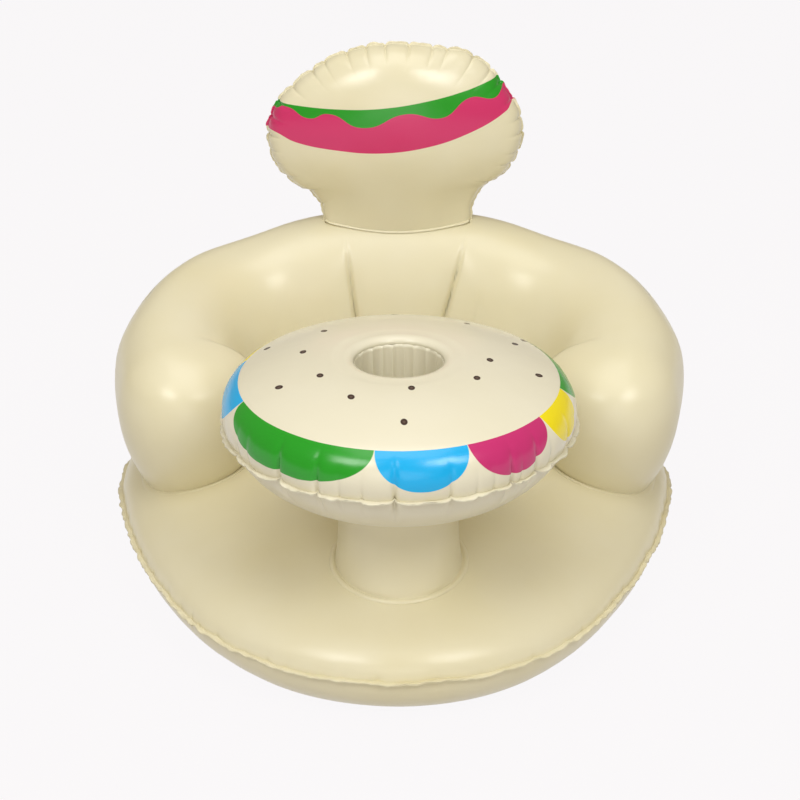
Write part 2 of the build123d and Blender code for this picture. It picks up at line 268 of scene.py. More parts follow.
def drawn_film(count, levels, place, pole=None, crowd=0.0):
    """Film drawn ring by ring: place(turn, level) gives each point and its way along the surface."""
    bm = bmesh.new()
    turn_mark = bm.verts.layers.float.new("turn")
    way_mark = bm.verts.layers.float.new("way")
    ring = bmesh.ops.create_circle(bm, segments=count, radius=1.0)["verts"]
    for vert in ring:
        angle = math.atan2(vert.co.y, vert.co.x)
        # the steps crowd towards the front, at -Y, where the finest folds show
        angle -= crowd * math.sin(angle + math.pi / 2)
        vert[turn_mark] = angle / (2 * math.pi) % 1.0
    edges = list(bm.edges)
    for number, level in enumerate(levels):
        if number:
            drawn = bmesh.ops.extrude_edge_only(bm, edges=edges)["geom"]
            ring = [part for part in drawn if isinstance(part, bmesh.types.BMVert)]
            edges = [part for part in drawn if isinstance(part, bmesh.types.BMEdge)]
            ring_set = set(ring)
            edges = [e for e in edges if e.verts[0] in ring_set and e.verts[1] in ring_set]
        for vert in ring:
            point, way = place(vert[turn_mark], level)
            vert.co = point
            vert[way_mark] = way
    if pole is not None:
        bmesh.ops.pointmerge(bm, verts=ring, merge_co=pole)
    uv = bm.loops.layers.uv.new("film")
    for face in bm.faces:
        turns = [loop.vert[turn_mark] for loop in face.loops]
        wraps = max(turns) - min(turns) > 0.5
        for loop, turn in zip(face.loops, turns):
            if wraps and turn < 0.5:
                turn += 1.0
            loop[uv].uv = (turn, loop.vert[way_mark])
    bmesh.ops.recalc_face_normals(bm, faces=bm.faces)
    return bm


def flip_towards(bm, outside):
    """Turns all faces the way that outside(point) says is out, by the first large face."""
    face = max(bm.faces, key=lambda f: f.calc_area())
    if face.normal.dot(Vector(outside(face.calc_center_median()))) < 0:
        bmesh.ops.reverse_faces(bm, faces=bm.faces)
    return bm


def finish_film(name, bm, material, node):
    """The film as an object with its thickness, in place of its solid."""
    piece = new_piece(name, bm)
    piece.data.materials.append(material)
    wall = piece.modifiers.new("wall", "SOLIDIFY")
    wall.thickness = FILM
    wall.offset = -1
    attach(piece, "seat")
    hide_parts(node)


# Materials


def linear(code):
    """sRGB hex to linear colour."""
    values = [int(code[i:i + 2], 16) / 255 for i in (1, 3, 5)]
    return tuple(
        v / 12.92 if v <= 0.04045 else ((v + 0.055) / 1.055) ** 2.4 for v in values
    ) + (1.0,)


def add(tree, kind, settings=(), links=()):
    """A node with its settings and its inputs, each a value or another node's output."""
    node = tree.nodes.new(kind)
    for key, value in dict(settings).items():
        setattr(node, key, value)
    for key, value in dict(links).items():
        if isinstance(value, bpy.types.NodeSocket):
            tree.links.new(value, node.inputs[key])
        else:
            node.inputs[key].default_value = value
    return node


CREAM = "#EBE5CA"
CREAM_DEEP = "#E5DCB5"
WHITE_CREAM = "#EAE5D0"
WHITE_DEEP = "#E4DEC4"
GREEN = "#1F9A1C"
PINK = "#D2306A"
MAGENTA = "#C62C70"
BLUE = "#00AEEC"
YELLOW = "#F4E000"
SEED = "#43302A"
# roughness of plain film, of printed film and of the valves
PLAIN_GLOSS = 0.31
PRINT_GLOSS = 0.24
VALVE_GLOSS = 0.28


def film_material(name, light, deep, roughness=PLAIN_GLOSS, paint=None):
    """Plasticised PVC film: satin gloss, a faint orange peel and a slight unevenness of tint."""
    material = bpy.data.materials.new(name)
    material.use_nodes = True
    tree = material.node_tree
    tree.nodes.clear()
    coords = add(tree, "ShaderNodeTexCoord").outputs["Object"]
    # slow change of tint, over about 90 mm
    cloud = add(tree, "ShaderNodeTexNoise", {}, {"Vector": coords, "Scale": 11.0, "Detail": 2.0})
    tint = add(tree, "ShaderNodeMix", {"data_type": "RGBA"}, {0: cloud.outputs["Fac"]})
    tint.inputs[6].default_value = linear(light)
    tint.inputs[7].default_value = linear(deep)
    colour = tint.outputs[2]
    if paint:
        colour = paint(tree, coords, colour)
    # orange peel of the calendered film, about 1.5 mm across, and slack swells of about 18 mm
    peel = add(tree, "ShaderNodeTexNoise", {}, {"Vector": coords, "Scale": 650.0, "Detail": 1.0})
    slack = add(tree, "ShaderNodeTexNoise", {}, {"Vector": coords, "Scale": 55.0, "Detail": 1.0})
    fine = add(
        tree, "ShaderNodeBump", {},
        {"Strength": 0.25, "Distance": 0.00008, "Height": peel.outputs["Fac"]},
    )
    bump = add(
        tree, "ShaderNodeBump", {},
        {
            "Strength": 0.3, "Distance": 0.0006,
            "Height": slack.outputs["Fac"], "Normal": fine.outputs["Normal"],
        },
    )
    shader = add(
        tree, "ShaderNodeBsdfPrincipled", {},
        {"Base Color": colour, "Roughness": roughness, "Normal": bump.outputs["Normal"]},
    )
    shader.inputs["IOR"].default_value = 1.53
    add(tree, "ShaderNodeOutputMaterial", {}, {"Surface": shader.outputs["BSDF"]})
    return material


def over(tree, factor, below, above):
    """Ink laid over a colour."""
    mix = add(tree, "ShaderNodeMix", {"data_type": "RGBA"}, {0: factor, 6: below})
    mix.inputs[7].default_value = linear(above)
    return mix.outputs[2]


def sums(tree, operation, a, b=0.0, c=0.0, clamp=False):
    settings = {"operation": operation, "use_clamp": clamp}
    return add(tree, "ShaderNodeMath", settings, {0: a, 1: b, 2: c}).outputs[0]


# Tray profile: shoulder arc, crest arc and the roll into the pocket, by the way from the seam


class TrayProfile:
    def __init__(self, side, shoulder, rise, bend, crest_radius, lip):
        crest = (crest_radius, side * (rise - bend))
        seam = (TRAY_RADIUS, 0.0)
        if side > 0:
            centre = meeting_point(seam, shoulder, crest, bend - shoulder)
        else:
            centre = meeting_point(crest, bend - shoulder, seam, shoulder)
        start = heading(centre, seam)
        tangent = heading(crest, centre)
        self.arcs = [(centre, shoulder, start, tangent)]
        if lip:
            inner = POCKET_RADIUS - 0.0008 + lip
            beta = math.asin((crest_radius - inner) / (bend - lip))
            turn = math.pi / 2 + beta
            lip_centre = (inner, crest[1] + (bend - lip) * math.cos(beta))
            self.arcs.append((crest, bend, tangent, turn))
            self.arcs.append((lip_centre, lip, turn, math.pi))
        else:
            beta = math.asin((crest_radius - POCKET_RADIUS) / bend)
            self.arcs.append((crest, bend, tangent, -math.pi / 2 - beta))
        self.lengths = [abs(a1 - a0) * radius for _, radius, a0, a1 in self.arcs]
        self.total = sum(self.lengths)

    def at(self, way):
        rest = way
        last = len(self.arcs) - 1
        for number, (centre, radius, a0, a1) in enumerate(self.arcs):
            if rest <= self.lengths[number] or number == last:
                angle = a0 + (a1 - a0) * rest / self.lengths[number]
                nr = math.cos(angle)
                nz = math.sin(angle)
                return centre[0] + nr * radius, centre[1] + nz * radius, nr, nz
            rest -= self.lengths[number]


TRAY_TOP = TrayProfile(1, TRAY_SHOULDER, TRAY_RISE, TRAY_BEND, TRAY_CREST, POCKET_LIP)
TRAY_UNDER = TrayProfile(-1, UNDER_SHOULDER, UNDER_DROP, UNDER_BEND, UNDER_CREST, 0.0)
TRAY_ROUND = 2 * math.pi * TRAY_RADIUS


def tray_angle(degrees):
    """Length along the tray's seam at an angle from +X towards the front."""
    return (-degrees % 360) / 360 * TRAY_ROUND


# Puckers that the front of the tray's seam shows, as angle, depth and width in mm
TRAY_PUCKERS = [
    (151.7, 2.0, 1.7), (145.3, 2.2, 1.8), (130.3, 5.0, 1.9), (115.8, 4.2, 1.8), (108.5, 1.6, 1.4),
    (101.4, 1.6, 1.4), (91.3, 4.8, 1.8), (73.8, 3.2, 1.7), (65.6, 1.4, 1.4), (59.6, 1.6, 1.6),
    (52.6, 4.4, 1.8), (48.7, 1.8, 1.4), (41.7, 4.8, 1.8), (34.5, 2.2, 1.6), (21.6, 3.2, 1.7),
    (12.8, 2.2, 1.6),
]
fixed_puckers = [
    (tray_angle(angle), depth / 700, width / 1000, 0.55 + 0.09 * depth)
    for angle, depth, width in TRAY_PUCKERS
]
free_puckers = [
    pucker for pucker in pucker_list(TRAY_ROUND, 0.034, 0.0042, 5)
    if pucker[0] < tray_angle(158) - 0.004
]
TRAY_SEAM_PUCKERS = fixed_puckers + free_puckers


def tray_seam_shift(turn):
    """How far the tray's seam wanders up or down, and in or out."""
    x = math.cos(turn * 2 * math.pi) * TRAY_RADIUS
    y = math.sin(turn * 2 * math.pi) * TRAY_RADIUS
    lift = ripple(x, y, 0.3, 0.045, 0.0022) + ripple(x, y, 1.7, 0.014, 0.0009)
    swing = ripple(x, y, 3.1, 0.05, 0.0016)
    return lift, swing


def tray_point(turn, way, profile, side):
    """Point of the tray's film, or of its margin where the way is negative."""
    angle = turn * 2 * math.pi
    along = turn * TRAY_ROUND
    lift, swing = tray_seam_shift(turn)
    away = max(way, 0.0)
    dent = pucker_depth(TRAY_SEAM_PUCKERS, TRAY_ROUND, along, away, 0.052)
    radius, z, nr, nz = profile.at(away)
    near = math.exp(-away / 0.02)
    if side > 0:
        z -= 0.0007 * math.exp(-(((radius - 0.0575) / 0.0009) ** 2))
    else:
        bed = math.dist((radius * math.cos(angle), radius * math.sin(angle)), TRAY_VALVE)
        z += (TRAY_VALVE_Z - TRAY_Z - z) * math.exp(-((bed / 0.019) ** 6))
    radius += swing * near - dent * max(nr, 0.35)
    z += lift * near - dent * nz * 0.6
    if way < 0:
        share = -way / MARGIN
        x = math.cos(angle) * TRAY_RADIUS
        y = math.sin(angle) * TRAY_RADIUS
        radius += -way * (0.86 + ripple(x, y, 5.0, 0.006, 0.22)) - dent * 0.25 * share
        z += share * (ripple(x, y, 7.0, 0.018, 0.0032) + ripple(x, y, 9.0, 0.005, 0.0009))
        z -= side * 0.0002
    point = (radius * math.cos(angle), TRAY_Y + radius * math.sin(angle), TRAY_Z + z)
    return point, way


def spaced(start, end, steps, power=1.0):
    return [start + (end - start) * (step / steps) ** power for step in range(steps + 1)]


margin_ways = [-MARGIN, -0.0045, -0.003, -0.0012, 0.0]
top_ways = margin_ways + spaced(0.0009, 0.07, 32, 1.25) + spaced(0.075, TRAY_TOP.total, 19)
under_ways = margin_ways + spaced(0.0009, 0.07, 30, 1.25) + spaced(0.076, TRAY_UNDER.total, 9)


def tray_top_place(turn, way):
    return tray_point(turn, way, TRAY_TOP, 1)


def tray_under_place(turn, way):
    return tray_point(turn, way, TRAY_UNDER, -1)


# Print on the tray: a border of half-round tongues that hang from a circle, and seeds inside it

# angles where each tongue starts and ends, from +X towards the front, and its ink
TONGUES = [
    (195.0, 160.0, BLUE), (160.0, 98.0, GREEN), (98.0, 66.8, BLUE),
    (66.8, 33.5, MAGENTA), (33.5, 9.0, YELLOW), (9.0, -66.2, GREEN),
    (-66.2, -99.4, BLUE), (-99.4, -132.5, MAGENTA), (-132.5, -165.0, YELLOW),
]
CIRCLE_WAY = TRAY_TOP.lengths[0] - 0.004
TONGUE_DEPTH = 0.78 * CIRCLE_WAY

# half width and half length of a seed
SEED_HALF = (0.0034, 0.0044)
# Seeds, as distance from the tray's middle in mm, angle from +X towards the front, and slant
SEEDS = [
    (103.3, -135.3, 20), (139.7, -156.8, -25), (93.0, -168.9, 0), (82.4, 152.0, 15), (120.1, 156.7, 50),
    (92.1, 117.9, 20), (69.3, 80.5, 0), (119.5, 87.8, 5), (84.0, 31.3, -10), (85.7, 2.1, 0),
    (125.1, -25.7, -20), (132.0, 5.8, -45), (124.0, -56.9, 0), (147.0, -33.3, -15), (138.0, -92.0, 10),
]


def paint_tray(tree, coords, film):
    # U runs round the tray, V is the way from the seam in metres
    uv = add(tree, "ShaderNodeUVMap", {"uv_map": "film"}).outputs["UV"]
    split = add(tree, "ShaderNodeSeparateXYZ", {}, {0: uv})
    turn = split.outputs[0]
    way = split.outputs[1]
    colour = film
    for start, end, ink in TONGUES:
        middle = (-(start + end) / 2 / 360) % 1.0
        half = (start - end) / 2 / 360
        gap = sums(tree, "SUBTRACT", turn, middle)
        gap = sums(tree, "ADD", gap, 0.5)
        gap = sums(tree, "WRAP", gap, 1.0, 0.0)
        gap = sums(tree, "SUBTRACT", gap, 0.5)
        across = sums(tree, "DIVIDE", gap, half)
        power = 2.0 if half < 0.06 else 2.2
        across = sums(tree, "POWER", sums(tree, "ABSOLUTE", across), power)
        down = sums(tree, "DIVIDE", sums(tree, "SUBTRACT", CIRCLE_WAY, way), TONGUE_DEPTH)
        below = sums(tree, "POWER", sums(tree, "MAXIMUM", down, 0.0), power)
        inside = sums(tree, "SUBTRACT", 1.0, sums(tree, "ADD", across, below))
        inside = sums(tree, "MULTIPLY", inside, 45.0, clamp=True)
        above = sums(tree, "MULTIPLY", sums(tree, "SUBTRACT", CIRCLE_WAY, way), 4000.0, clamp=True)
        colour = over(tree, sums(tree, "MULTIPLY", inside, above), colour, ink)
    nearest = 10.0
    for distance, angle, slant in SEEDS:
        x = distance / 1000 * cosine(angle)
        y = TRAY_Y - distance / 1000 * sine(angle)
        spot = add(
            tree, "ShaderNodeMapping", {"vector_type": "TEXTURE"},
            {"Vector": coords, "Location": (x, y, 0), "Rotation": (0, 0, math.radians(slant)),
             "Scale": (*SEED_HALF, 1000.0)},
        )
        length = add(tree, "ShaderNodeVectorMath", {"operation": "LENGTH"}, {0: spot.outputs[0]})
        nearest = sums(tree, "MINIMUM", length.outputs["Value"], nearest)
    disc = sums(tree, "MULTIPLY", sums(tree, "SUBTRACT", 1.0, nearest), 9.0, clamp=True)
    heart = sums(tree, "MULTIPLY", sums(tree, "SUBTRACT", 0.42, nearest), 9.0, clamp=True)
    colour = over(tree, disc, colour, SEED)
    colour = over(tree, sums(tree, "MULTIPLY", heart, 0.25), colour, "#8A7666")
    return colour


# Post: a tube with a flared, welded foot on the base


def post_place(turn, level):
    angle = turn * 2 * math.pi
    x = math.cos(angle)
    y = math.sin(angle)
    if level[0] == "foot":
        radius = POST_RADIUS + level[1]
        base = base_top(radius * x, TRAY_Y + radius * y)
        z = base + level[2] + ripple(x, y, level[1] * 40, 0.35, 0.0004)
    else:
        share = level[1]
        radius = POST_RADIUS + 0.0015 * (1 - share) ** 6 - 0.0022 * math.sin(math.pi * share)
        radius += ripple(x * 0.2, y * 0.2, share * 0.05, 0.12, 0.0014)
        foot = base_top(POST_RADIUS * x, TRAY_Y + POST_RADIUS * y) + 0.0022
        z = foot + (TRAY_Z - 0.046 - foot) * share
    return (radius * x, TRAY_Y + radius * y, z), z


post_levels = [
    ("foot", 0.0078, 0.0002), ("foot", 0.0078, 0.0012), ("foot", 0.0066, 0.0022), ("foot", 0.0048, 0.0026),
    ("foot", 0.0032, 0.0018), ("foot", 0.0024, 0.0008), ("foot", 0.0014, 0.0007),
] + [("wall", share) for share in spaced(0.0, 1.0, 26)]


# Pocket sleeve: a tube with pleats where it is too long for the ring it is welded to

SLEEVE_PLEATS = [
    # angle from +X towards the back, depth and width in mm
    (128, 3.2, 3.0), (112, 2.4, 2.2), (99, 4.8, 3.2), (83, 2.6, 2.4), (70, 3.4, 2.6), (52, 2.4, 2.6),
    (150, 2.2, 3.0), (28, 2.6, 3.4), (5, 1.8, 3.0), (182, 2.4, 2.8), (205, 3.0, 3.0), (236, 2.2, 2.6),
    (262, 3.6, 2.8), (288, 2.0, 2.4), (312, 3.0, 3.0), (338, 2.2, 2.6),
]
# the sleeve's lower end, from the tray's seam
SLEEVE_BOTTOM = -0.0488


def sleeve_place(turn, level):
    angle = turn * 2 * math.pi
    top = TRAY_TOP.at(TRAY_TOP.total)[1]
    depth = 0.0
    for place, deep, width in SLEEVE_PLEATS:
        gap = abs((math.degrees(angle) - place + 180) % 360 - 180)
        spread = width / 1000 / POCKET_RADIUS * 57.3
        strength = math.sin(math.pi * min(max(level * 0.86 + 0.12, 0), 1)) ** 0.8
        depth += deep / 1000 * strength / (1 + (gap / spread) ** 2) ** 1.5
    radius = POCKET_RADIUS - 0.0006 + 0.0018 * math.sin(math.pi * level) - depth
    z = top + 0.0006 + (SLEEVE_BOTTOM - top) * level
    return (radius * math.cos(angle), TRAY_Y + radius * math.sin(angle), TRAY_Z + z), level


# Base

BASE_PUCKERS = pucker_list(BASE_PATH.total, 0.026, 0.0026, 11)
# swell of the base's front sides, how much of it tips to the left, and where it is along Y
FRONT_SWELL = 0.0085
SWELL_TIP = 0.0015
SWELL_Y = -0.17
SWELL_WIDTH = 0.12
# centre of the rings that close the base's crown
CAP_MIDDLE = (0.0, 0.02)


def front_swell(x, y, angle):
    """The cushion's front sides are a little fuller than its drawn outline, the left one most."""
    fuller = FRONT_SWELL - SWELL_TIP * min(max(x / 0.1, -1), 1)
    return fuller * math.exp(-(((y - SWELL_Y) / SWELL_WIDTH) ** 2)) * cosine(angle)


def base_point(turn, way, side):
    along = turn * BASE_PATH.total
    (x, y), (nx, ny) = BASE_PATH.at(along)
    lift = ripple(x, y, 0.2, 0.05, 0.0022) + ripple(x, y, 2.0, 0.012, 0.0009)
    swing = ripple(x, y, 4.0, 0.03, 0.0012)
    if way[0] == "margin":
        dent = pucker_depth(BASE_PUCKERS, BASE_PATH.total, along, 0, 0.028)
        share = way[1] / MARGIN
        out = way[1] * (0.8 + ripple(x, y, 5.0, 0.006, 0.3)) + swing - dent * (0.9 - 0.3 * share)
        out += front_swell(x, y, 0)
        ragged = ripple(x, y, 7.0, 0.014, 0.0022) + ripple(x, y, 9.0, 0.005, 0.0008)
        z = BASE_SEAM_Z + lift + share * ragged
        z -= side * 0.0002
        return (x + nx * out, y + ny * out, z), -way[1]
    if way[0] == "cap":
        ring, _ = base_point(turn, ("angle", 82), side)
        shrink = way[1]
        px = CAP_MIDDLE[0] + (ring[0] - CAP_MIDDLE[0]) * shrink
        py = CAP_MIDDLE[1] + (ring[1] - CAP_MIDDLE[1]) * shrink
        z = ring[2] + side * 0.0006 * (1 - shrink * shrink)
        return (px, py, z), 1.0
    angle = way[1]
    run = CROWN_RUN if side > 0 else FLOOR_RUN
    rise = CROWN if side > 0 else BASE_SEAM_Z
    inset = run * (1 - cosine(angle))
    height = rise * sine(angle)
    away = math.radians(angle) * (run * 0.35 + rise * 0.65) if side > 0 else math.radians(angle) * rise
    nr = cosine(angle) / run
    nz = sine(angle) / rise
    size = math.hypot(nr, nz)
    nr /= size
    nz /= size
    near = math.exp(-away / 0.018)
    dent = pucker_depth(BASE_PUCKERS, BASE_PATH.total, along, away, 0.028)
    out = front_swell(x, y, angle) - inset + swing * near - dent * nr
    z = BASE_SEAM_Z + side * (height - dent * nz * 0.5) + lift * near
    if side < 0 and z < 0.0:
        z = 0.0
    return (x + nx * out, y + ny * out, z), away


BASE_COUNT = 900
BASE_POLE = (0, 0.02, 0.1142)
margin_levels = [("margin", MARGIN), ("margin", 0.0042), ("margin", 0.0022), ("margin", 0.0008)]
crown_levels = [("angle", angle) for angle in spaced(0, 24, 15, 1.3) + spaced(28, 82, 12)]
cap_levels = [("cap", share) for share in (0.85, 0.68, 0.5, 0.34, 0.2, 0.08)]
floor_levels = [("angle", angle) for angle in spaced(0, 30, 12, 1.3) + spaced(35, 90, 10)]
floor_caps = [("floor", share) for share in (0.8, 0.55, 0.3, 0.1)]
# how much wider the front tip is than drawn, and where it is along Y
TIP_WIDER = 0.10
TIP_Y = -0.28
TIP_RUN = 0.08


def drawn_in(found):
    """The cushion's right side is drawn in a little and its tip is blunter, as in the photo."""
    (x, y, z), way = found
    blunt = 1 + TIP_WIDER * math.exp(-(((y - TIP_Y) / TIP_RUN) ** 2))
    return (x * blunt * (RIGHT_SHARE if x > 0 else 1), y, z), way


def base_top_place(turn, way):
    return drawn_in(base_point(turn, way, 1))


def base_bottom_place(turn, way):
    if way[0] == "floor":
        (x, y, _), _ = base_point(turn, ("angle", 90), -1)
        return drawn_in(((x * way[1], y * way[1], 0.0), 1.0))
    return drawn_in(base_point(turn, way, -1))


# Backrest

ARM_TURN = math.asin((ARM_END_Y - SIDE_CENTRE[1]) / (SIDE_RADIUS - WALL_INSET))
WALL_ARCS = [
    (SIDE_CENTRE, SIDE_RADIUS - WALL_INSET, ARM_TURN, SIDE_TURN),
    (CORNER, CORNER_RADIUS - WALL_INSET, SIDE_TURN, BACK_TURN),
    (BACK_CENTRE, BACK_RADIUS - WALL_INSET, BACK_TURN, math.pi - BACK_TURN),
    (LEFT_CORNER, CORNER_RADIUS - WALL_INSET, math.pi - BACK_TURN, math.pi - SIDE_TURN),
    (LEFT_SIDE, SIDE_RADIUS - WALL_INSET, math.pi - SIDE_TURN, math.pi - ARM_TURN),
]
WALL_PATH = ArcPath(WALL_ARCS)
RIDGE_Y = BASE_HALF - WALL_INSET
WALL_SIDE_STEPS = 300
WALL_CAP_STEPS = 40
WALL_COUNT = 2 * (WALL_SIDE_STEPS + WALL_CAP_STEPS)


def wall_rise(angle):
    return (sine(angle) + sine(WALL_FOOT_ANGLE)) / (1 + sine(WALL_FOOT_ANGLE))


def wall_height(y, angle):
    """Height of the wall's film on the section at an angle round its edge."""
    rise = wall_rise(angle)
    back = WALL_FOOT_Z + (WALL_BACK_Z - WALL_FOOT_Z) * rise
    arm = WALL_FOOT_Z + (WALL_ARM_Z - WALL_FOOT_Z) * rise
    return back + (y - RIDGE_Y) * (back - arm) / (RIDGE_Y - ARM_END_Y)


def wall_spread(angle):
    return WALL_HALF * max(cosine(angle), 0.0) ** WALL_FULLNESS


def crowded(share):
    """Steps along the wall crowd at its middle, where the creases are."""
    return share + 0.8 * math.sin(2 * math.pi * share) / (2 * math.pi)


def wall_frame(turn):
    """Path point, the way out from it, and which stretch of the wall a turn lies on."""
    step = turn * WALL_COUNT
    if step <= WALL_SIDE_STEPS:
        share = crowded(step / WALL_SIDE_STEPS)
        point, normal = WALL_PATH.at(share * WALL_PATH.total)
        return point, normal, "outer"
    step -= WALL_SIDE_STEPS
    if step <= WALL_CAP_STEPS:
        point, normal = WALL_PATH.at(WALL_PATH.total)
        turned = math.atan2(normal[1], normal[0]) + math.pi * step / WALL_CAP_STEPS
        return point, (math.cos(turned), math.sin(turned)), "left_end"
    step -= WALL_CAP_STEPS
    if step <= WALL_SIDE_STEPS:
        share = crowded(1 - step / WALL_SIDE_STEPS)
        point, normal = WALL_PATH.at(share * WALL_PATH.total)
        return point, (-normal[0], -normal[1]), "inner"
    step -= WALL_SIDE_STEPS
    point, normal = WALL_PATH.at(0.0)
    turned = math.atan2(normal[1], normal[0]) - math.pi + math.pi * step / WALL_CAP_STEPS
    return point, (math.cos(turned), math.sin(turned)), "right_end"


def wall_foot(turn):
    """Angle round the wall's edge where its film meets the base."""
    point, normal, _ = wall_frame(turn)
    low = -WALL_FOOT_ANGLE
    high = 10.0
    for _ in range(22):
        middle = (low + high) / 2
        spread = wall_spread(middle)
        x = point[0] + normal[0] * spread
        y = point[1] + normal[1] * spread
        if wall_height(y, middle) < base_top(x, y):
            low = middle
        else:
            high = middle
    return high


wall_foot_angles = [wall_foot(step / WALL_COUNT) for step in range(WALL_COUNT)]


def foot_angle_at(turn):
    step = turn * WALL_COUNT
    low = int(step) % WALL_COUNT
    part = step - int(step)
    return wall_foot_angles[low] * (1 - part) + wall_foot_angles[(low + 1) % WALL_COUNT] * part


def crease_depth(x, z, place, tilt, bottom, top, depth, width):
    """Valley where a strip inside ties the two films of the wall together."""
    line = place + tilt * (z - CREASE_LEVEL)
    if z <= bottom - 0.03 or z >= top + 0.02:
        return 0.0
    fade = min(max((z - bottom + 0.03) / 0.05, 0), 1) * min(max((top + 0.02 - z) / 0.05, 0), 1)
    gap = abs(x - line)
    sharp = 0.7 / (1 + (gap / width) ** 2) ** 1.3
    broad = 0.3 * math.exp(-((gap / (width * 8)) ** 2))
    return depth * fade * (sharp + broad)


def wall_place(turn, level):
    point, normal, stretch = wall_frame(turn)
    foot = foot_angle_at(turn)
    if level[0] == "margin":
        out = wall_spread(foot) + level[1]
        x = point[0] + normal[0] * out
        y = point[1] + normal[1] * out
        return (x, y, base_top(x, y) + level[2] + ripple(x, y, 0.5, 0.02, 0.0003)), 0.0
    angle = foot + (90 - foot) * level[1]
    spread = wall_spread(angle)
    x = point[0] + normal[0] * spread
    y = point[1] + normal[1] * spread
    z = wall_height(y, angle)
    dent = 0.0
    if stretch == "inner" and y > 0.12:
        for crease in CREASES:
            dent += crease_depth(x, z, *crease)
    dent += ripple(x, y, z, 0.09, 0.0011)
    fall = cosine(angle)
    z -= RIDGE_SAG * math.exp(-(((abs(x) - SAG_X) / SAG_WIDTH) ** 2)) * max(wall_rise(angle), 0.0) ** 2
    if stretch != "inner":
        arm = min(max((ARM_SWELL_Y - y) / ARM_SWELL_RUN, 0), 1)
        dent -= ARM_SWELL * arm * min(level[1] * 1.6, 1)
    x -= normal[0] * dent * fall
    y -= normal[1] * dent * fall
    return (x, y, z), level[1]


wall_levels = [("margin", 0.0058, 0.0002), ("margin", 0.0052, 0.0009), ("margin", 0.0018, 0.0010)]
wall_shares = spaced(0.0, 0.12, 8, 1.2) + spaced(0.15, 0.9, 26) + spaced(0.92, 1.0, 6)
wall_levels += [("film", share) for share in wall_shares]


# Headrest

CHEEK = (HEAD_WIDTH / 2 - CHEEK_RADIUS, CHEEK_Z)
HEAD_TOP_RADIUS = bridging_radius(CHEEK[0], HEAD_TOP - CHEEK_Z, CHEEK_RADIUS)
HEAD_TOP_CENTRE = (0.0, HEAD_TOP - HEAD_TOP_RADIUS)
NECK_X = NECK_WIDTH / 2 + NECK_RADIUS
NECK = (NECK_X, CHEEK_Z - math.sqrt((CHEEK_RADIUS + NECK_RADIUS) ** 2 - (NECK_X - CHEEK[0]) ** 2))
NECK_TURN = heading(CHEEK, NECK)
CHEEK_TURN = heading(HEAD_TOP_CENTRE, CHEEK)


def head_half_width(z):
    if z <= NECK[1]:
        return NECK_WIDTH / 2
    if z <= CHEEK[1] + CHEEK_RADIUS * math.sin(NECK_TURN):
        return NECK_X - math.sqrt(max(NECK_RADIUS ** 2 - (z - NECK[1]) ** 2, 0))
    if z <= CHEEK[1] + CHEEK_RADIUS * math.sin(CHEEK_TURN):
        return CHEEK[0] + math.sqrt(max(CHEEK_RADIUS ** 2 - (z - CHEEK[1]) ** 2, 0))
    return math.sqrt(max(HEAD_TOP_RADIUS ** 2 - (z - HEAD_TOP_CENTRE[1]) ** 2, 0))


def head_depth(x, z):
    """Half thickness of the headrest at a point of its outline's plane."""
    if z >= CHEEK_Z:
        turn_sine = min((z - CHEEK_Z) / (HEAD_TOP - CHEEK_Z), 1.0)
    else:
        turn_sine = (z - CHEEK_Z) / ((CHEEK_Z - HEAD_FOOT_Z) / sine(HEAD_FOOT_ANGLE))
    half_y = HEAD_HALF * math.sqrt(max(1 - turn_sine ** 2, 0)) ** HEAD_FULLNESS
    half_x = head_half_width(z)
    if half_y < 1e-6 or half_x < 1e-4:
        return 0.0
    corner = half_y * 0.5
    centre = half_x - corner
    if centre <= 0:
        return half_y * math.sqrt(max(1 - (x / half_x) ** 2, 0))
    radius = bridging_radius(centre, half_y, corner)
    drop = half_y - radius
    turn = math.atan2(-drop, centre)
    edge = radius * math.cos(turn)
    x = abs(x)
    if x <= edge:
        return drop + math.sqrt(max(radius * radius - x * x, 0))
    return math.sqrt(max(corner * corner - (x - centre) ** 2, 0))


HEAD_ARCS = [
    ("line", (NECK_WIDTH / 2, HEAD_FOOT_Z), (NECK_WIDTH / 2, NECK[1])),
    ("arc", NECK, NECK_RADIUS, math.pi, NECK_TURN + math.pi),
    ("arc", CHEEK, CHEEK_RADIUS, NECK_TURN, CHEEK_TURN),
    ("arc", HEAD_TOP_CENTRE, HEAD_TOP_RADIUS, CHEEK_TURN, math.pi - CHEEK_TURN),
    ("arc", (-CHEEK[0], CHEEK[1]), CHEEK_RADIUS, math.pi - CHEEK_TURN, math.pi - NECK_TURN),
    ("arc", (-NECK[0], NECK[1]), NECK_RADIUS, -NECK_TURN, 0.0),
    ("line", (-NECK_WIDTH / 2, NECK[1]), (-NECK_WIDTH / 2, HEAD_FOOT_Z)),
    ("foot", (-NECK_WIDTH / 2, HEAD_FOOT_Z), (NECK_WIDTH / 2, HEAD_FOOT_Z)),
]


def head_lengths():
    found = []
    for part in HEAD_ARCS:
        if part[0] != "arc":
            found.append(math.dist(part[1], part[2]))
        else:
            found.append(part[2] * abs(part[4] - part[3]))
    return found


HEAD_LENGTHS = head_lengths()
HEAD_ROUND = sum(HEAD_LENGTHS)


